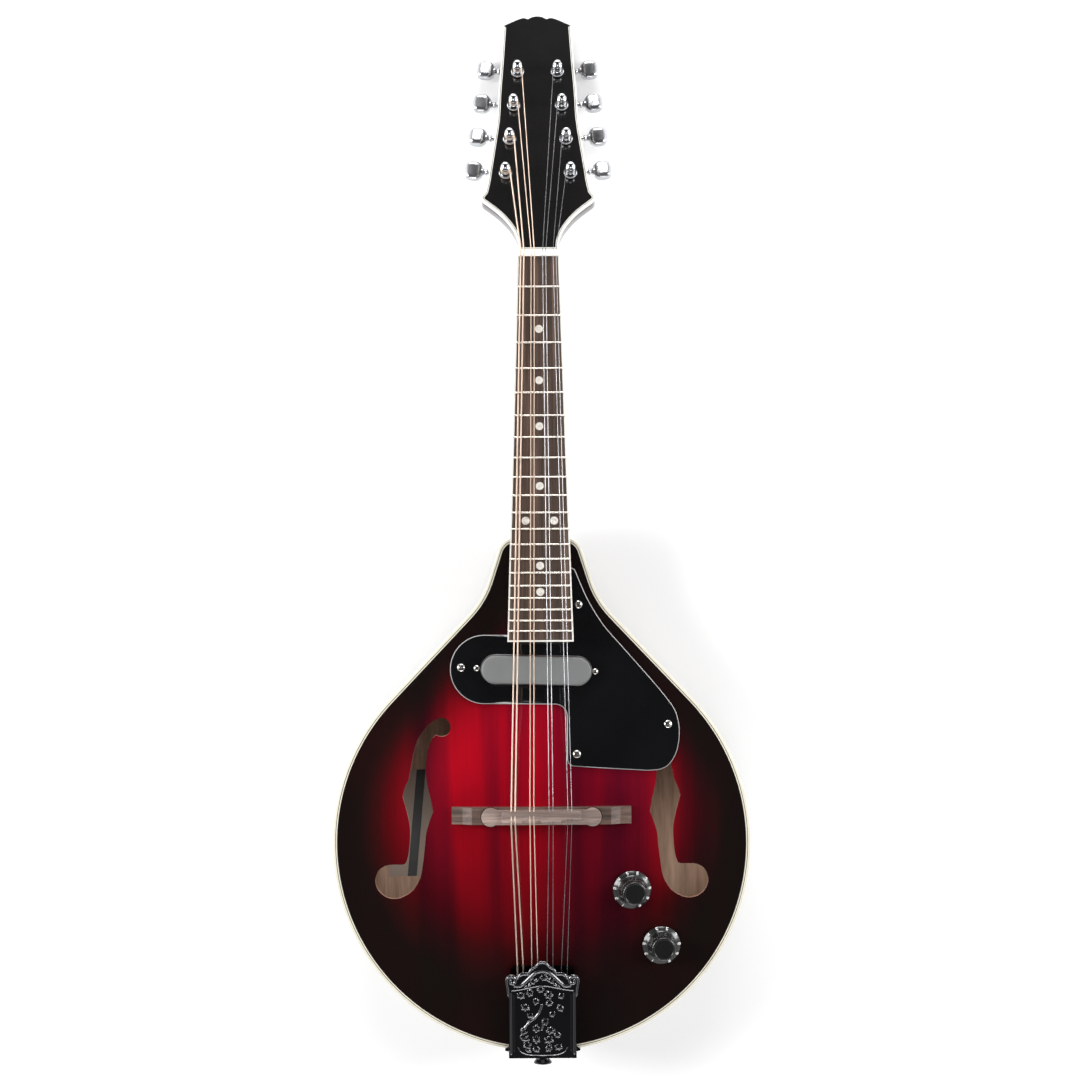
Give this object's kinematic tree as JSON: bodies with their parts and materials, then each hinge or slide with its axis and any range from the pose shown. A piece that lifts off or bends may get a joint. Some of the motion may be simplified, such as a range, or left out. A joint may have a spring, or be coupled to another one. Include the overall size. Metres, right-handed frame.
{
  "type": "mandolin",
  "caption": "Acoustic-electric mandolin: teardrop arched body with f-holes, pickguard with pickup, floating bridge with thumbwheels, covered tailpiece and geared tuners.",
  "frame": {"origin": "centre of the bounding box in X and Y, at its lowest point in Z, where the arched back and the headstock rest", "axes": "+Y from the tail to the headstock, +X to the treble side, +Z out of the soundboard"},
  "size_m": [0.2684, 0.6909, 0.0964],
  "materials": {
    "soundboard": "stained figured laminate, gloss lacquer, red-to-black burst",
    "back_plate": "stained laminate, gloss lacquer, dark red to black",
    "rim": "stained laminate, gloss lacquer, dark red-black",
    "kerfed_linings": "raw kerfed basswood",
    "neck_block": "raw mahogany",
    "tail_block": "raw mahogany",
    "tone_bars": "raw spruce",
    "top_binding": "cream and black plies, glossy",
    "back_binding": "cream, glossy",
    "inner_label": "plain grey-brown paper",
    "neck": "nato stained dark red-black, gloss lacquer",
    "truss_rod": "plain steel bar",
    "headstock_overlay": "black gloss facing",
    "headstock_binding": "white and black plies, glossy",
    "fingerboard": "oiled rosewood, open grain, satin",
    "fingerboard_binding": "white, satin",
    "frets": "polished nickel silver",
    "position_dots": "pearl",
    "nut": "white, polished",
    "tuner_hardware": "polished chrome",
    "bridge_wood": "rosewood, satin",
    "thumbwheels": "nickel plated",
    "tailpiece_base": "black nickel",
    "tailpiece_cover": "black chrome, stamped relief",
    "strap_button": "black nickel",
    "pickguard": "black, glossy, bevelled edge",
    "pickup_cover": "grey, satin",
    "pickup_coil": "wound enamelled wire, taped",
    "knobs": "black, white dial marks",
    "pots": "zinc plated can",
    "output_jack": "nickel plated",
    "wound_strings": "bronze wound",
    "plain_strings": "bright plain steel"
  },
  "bodies": {
    "mandolin": {"soundboard": "soundboard", "back_plate": "back_plate", "rim": "rim", "kerfed_linings": "kerfed_linings", "neck_block": "neck_block", "tail_block": "tail_block", "tone_bars": "tone_bars", "top_binding": "top_binding", "back_binding": "back_binding", "inner_label": "inner_label", "neck": "neck", "truss_rod": "truss_rod", "headstock_overlay": "headstock_overlay", "headstock_binding": "headstock_binding", "fingerboard": "fingerboard", "fingerboard_binding": "fingerboard_binding", "frets": "frets", "position_dots": "position_dots", "nut": "nut", "tuner_plates": "tuner_hardware", "tuner_bushings": "tuner_hardware", "tuner_screws": "tuner_hardware", "bridge_base": "bridge_wood", "bridge_posts": "thumbwheels", "tailpiece_base": "tailpiece_base", "tailpiece_screws": "tailpiece_base", "strap_button": "strap_button", "pickguard": "pickguard", "pickguard_screws": "tuner_hardware", "pickup_cover": "pickup_cover", "pickup_coil": "pickup_coil", "volume_pot": "pots", "tone_pot": "pots", "output_jack": "output_jack", "strings_g": "wound_strings", "strings_d": "wound_strings", "strings_a": "plain_strings", "strings_e": "plain_strings"},
    "saddle": {"bridge_saddle": "bridge_wood"},
    "thumbwheel_bass": {"thumbwheel_bass": "thumbwheels"},
    "thumbwheel_treble": {"thumbwheel_treble": "thumbwheels"},
    "tailpiece_cover": {"tailpiece_cover": "tailpiece_cover"},
    "volume_knob": {"volume_knob": "knobs"},
    "tone_knob": {"tone_knob": "knobs"},
    "tuner_knob_b1": {"tuner_knob_b1": "tuner_hardware"},
    "string_post_b1": {"string_post_b1": "tuner_hardware"},
    "tuner_knob_b2": {"tuner_knob_b2": "tuner_hardware"},
    "string_post_b2": {"string_post_b2": "tuner_hardware"},
    "tuner_knob_b3": {"tuner_knob_b3": "tuner_hardware"},
    "string_post_b3": {"string_post_b3": "tuner_hardware"},
    "tuner_knob_b4": {"tuner_knob_b4": "tuner_hardware"},
    "string_post_b4": {"string_post_b4": "tuner_hardware"},
    "tuner_knob_t1": {"tuner_knob_t1": "tuner_hardware"},
    "string_post_t1": {"string_post_t1": "tuner_hardware"},
    "tuner_knob_t2": {"tuner_knob_t2": "tuner_hardware"},
    "string_post_t2": {"string_post_t2": "tuner_hardware"},
    "tuner_knob_t3": {"tuner_knob_t3": "tuner_hardware"},
    "string_post_t3": {"string_post_t3": "tuner_hardware"},
    "tuner_knob_t4": {"tuner_knob_t4": "tuner_hardware"},
    "string_post_t4": {"string_post_t4": "tuner_hardware"}
  },
  "joints": [
    {"name": "tuner_knob_b1_turn", "type": "hinge", "parent": "mandolin", "child": "tuner_knob_b1", "pos_m": [-0.02035, 0.23817, 0.02698], "axis": [-0.994, 0.105, -0.0306], "continuous": true},
    {"name": "string_post_b1_turn", "type": "hinge", "parent": "mandolin", "child": "string_post_b1", "pos_m": [-0.0211, 0.23623, 0.04484], "axis": [0, 0.2798, 0.96], "continuous": true},
    {"name": "tuner_knob_b2_turn", "type": "hinge", "parent": "mandolin", "child": "tuner_knob_b2", "pos_m": [-0.01768, 0.26146, 0.02019], "axis": [-0.994, 0.105, -0.0306], "continuous": true},
    {"name": "string_post_b2_turn", "type": "hinge", "parent": "mandolin", "child": "string_post_b2", "pos_m": [-0.01843, 0.25952, 0.03805], "axis": [0, 0.2798, 0.96], "continuous": true},
    {"name": "tuner_knob_b3_turn", "type": "hinge", "parent": "mandolin", "child": "tuner_knob_b3", "pos_m": [-0.01501, 0.28474, 0.01341], "axis": [-0.994, 0.105, -0.0306], "continuous": true},
    {"name": "string_post_b3_turn", "type": "hinge", "parent": "mandolin", "child": "string_post_b3", "pos_m": [-0.01576, 0.2828, 0.03126], "axis": [0, 0.2798, 0.96], "continuous": true},
    {"name": "tuner_knob_b4_turn", "type": "hinge", "parent": "mandolin", "child": "tuner_knob_b4", "pos_m": [-0.01234, 0.30803, 0.00662], "axis": [-0.994, 0.105, -0.0306], "continuous": true},
    {"name": "string_post_b4_turn", "type": "hinge", "parent": "mandolin", "child": "string_post_b4", "pos_m": [-0.01309, 0.30609, 0.02448], "axis": [0, 0.2798, 0.96], "continuous": true},
    {"name": "tuner_knob_t1_turn", "type": "hinge", "parent": "mandolin", "child": "tuner_knob_t1", "pos_m": [0.02035, 0.23817, 0.02698], "axis": [0.994, 0.105, -0.0306], "continuous": true},
    {"name": "string_post_t1_turn", "type": "hinge", "parent": "mandolin", "child": "string_post_t1", "pos_m": [0.0211, 0.23623, 0.04484], "axis": [0, 0.2798, 0.96], "continuous": true},
    {"name": "tuner_knob_t2_turn", "type": "hinge", "parent": "mandolin", "child": "tuner_knob_t2", "pos_m": [0.01768, 0.26146, 0.02019], "axis": [0.994, 0.105, -0.0306], "continuous": true},
    {"name": "string_post_t2_turn", "type": "hinge", "parent": "mandolin", "child": "string_post_t2", "pos_m": [0.01843, 0.25952, 0.03805], "axis": [0, 0.2798, 0.96], "continuous": true},
    {"name": "tuner_knob_t3_turn", "type": "hinge", "parent": "mandolin", "child": "tuner_knob_t3", "pos_m": [0.01501, 0.28474, 0.01341], "axis": [0.994, 0.105, -0.0306], "continuous": true},
    {"name": "string_post_t3_turn", "type": "hinge", "parent": "mandolin", "child": "string_post_t3", "pos_m": [0.01576, 0.2828, 0.03126], "axis": [0, 0.2798, 0.96], "continuous": true},
    {"name": "tuner_knob_t4_turn", "type": "hinge", "parent": "mandolin", "child": "tuner_knob_t4", "pos_m": [0.01234, 0.30803, 0.00662], "axis": [0.994, 0.105, -0.0306], "continuous": true},
    {"name": "string_post_t4_turn", "type": "hinge", "parent": "mandolin", "child": "string_post_t4", "pos_m": [0.01309, 0.30609, 0.02448], "axis": [0, 0.2798, 0.96], "continuous": true},
    {"name": "volume_knob_turn", "type": "hinge", "parent": "mandolin", "child": "volume_knob", "pos_m": [0.0574, -0.2262, 0.0731], "axis": [0.1165, -0.091, 0.989], "range_deg": [-150, 150]},
    {"name": "tone_knob_turn", "type": "hinge", "parent": "mandolin", "child": "tone_knob", "pos_m": [0.0764, -0.2626, 0.06775], "axis": [0.0764, -0.0738, 0.9943], "range_deg": [-150, 150]},
    {"name": "thumbwheel_bass_turn", "type": "hinge", "parent": "saddle", "child": "thumbwheel_bass", "pos_m": [-0.0323, -0.178, 0.08765], "axis": [0, 0, 1], "range_deg": [-720, 720]},
    {"name": "thumbwheel_treble_turn", "type": "hinge", "parent": "saddle", "child": "thumbwheel_treble", "pos_m": [0.0323, -0.178, 0.08765], "axis": [0, 0, 1], "range_deg": [-720, 720]},
    {"name": "saddle_lift", "type": "slide", "parent": "mandolin", "child": "saddle", "axis": [0, 0, 1], "range_m": [-0.0015, 0.0015], "deforming": ["strings_g", "strings_d", "strings_a", "strings_e"]},
    {"name": "tailpiece_cover_slide", "type": "slide", "parent": "mandolin", "child": "tailpiece_cover", "axis": [0, -0.9877, -0.1564], "range_m": [0, 0.07]}
  ],
  "couplings": [
    {"joint": "string_post_b1_turn", "follows": "tuner_knob_b1_turn", "ratio": 0.066667},
    {"joint": "string_post_b2_turn", "follows": "tuner_knob_b2_turn", "ratio": 0.066667},
    {"joint": "string_post_b3_turn", "follows": "tuner_knob_b3_turn", "ratio": 0.066667},
    {"joint": "string_post_b4_turn", "follows": "tuner_knob_b4_turn", "ratio": 0.066667},
    {"joint": "string_post_t1_turn", "follows": "tuner_knob_t1_turn", "ratio": -0.066667},
    {"joint": "string_post_t2_turn", "follows": "tuner_knob_t2_turn", "ratio": -0.066667},
    {"joint": "string_post_t3_turn", "follows": "tuner_knob_t3_turn", "ratio": -0.066667},
    {"joint": "string_post_t4_turn", "follows": "tuner_knob_t4_turn", "ratio": -0.066667},
    {"joint": "thumbwheel_treble_turn", "follows": "thumbwheel_bass_turn", "ratio": 1},
    {"joint": "saddle_lift", "follows": "thumbwheel_bass_turn", "m_per_rad": 0.00011937}
  ]
}
